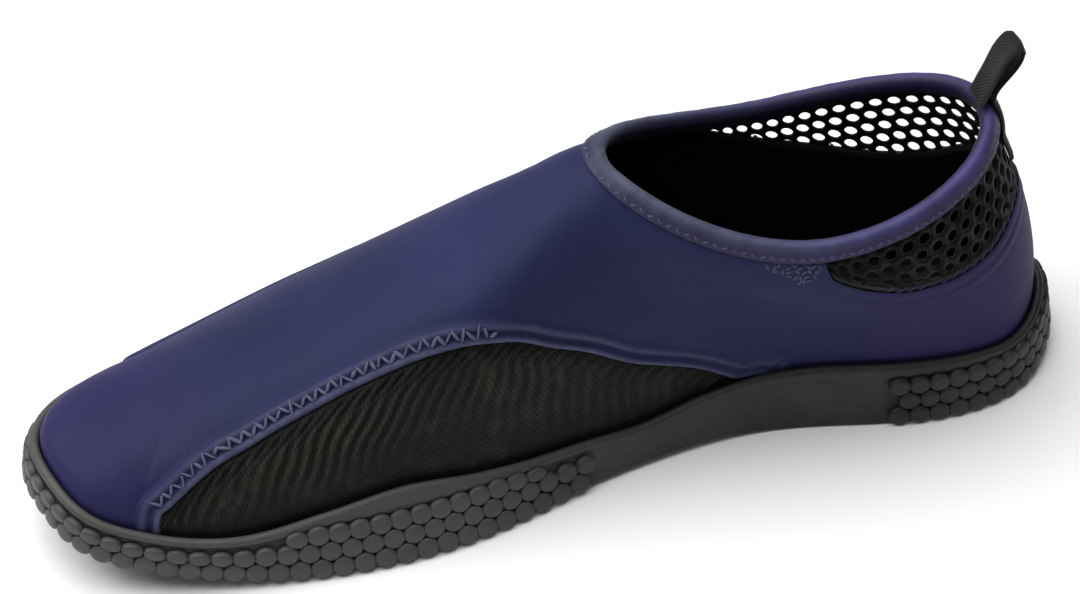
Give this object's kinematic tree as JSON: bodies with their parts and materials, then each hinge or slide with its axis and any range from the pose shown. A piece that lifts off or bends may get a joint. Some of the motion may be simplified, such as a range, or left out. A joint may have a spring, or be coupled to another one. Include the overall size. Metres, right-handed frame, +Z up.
{
  "type": "water shoe",
  "caption": "Low slip-on water shoe with a neoprene upper, mesh panels, a bound collar, a webbing pull loop and a studded rubber cup sole.",
  "frame": {"origin": "middle of the shoe's box, on the floor under the sole", "axes": "+X from toe to heel, +Y from the inner (medial) to the outer (lateral) side, +Z up"},
  "size_m": [0.2836, 0.0946, 0.1006],
  "materials": {
    "sole_rubber": "matt moulded rubber",
    "insole_foam": "dark cloth over foam",
    "neoprene": "navy stretch cloth on foam rubber",
    "side_mesh": "near-black ribbed mesh",
    "open_mesh": "black open net",
    "binding": "violet-navy stretch binding",
    "webbing": "black ribbed webbing"
  },
  "bodies": {
    "root": {"outsole": "sole_rubber", "insole": "insole_foam", "upper": "neoprene", "side_mesh_medial": "side_mesh", "side_mesh_lateral": "side_mesh", "heel_mesh": "open_mesh", "collar_binding": "binding", "pull_loop": "webbing"}
  },
  "joints": []
}
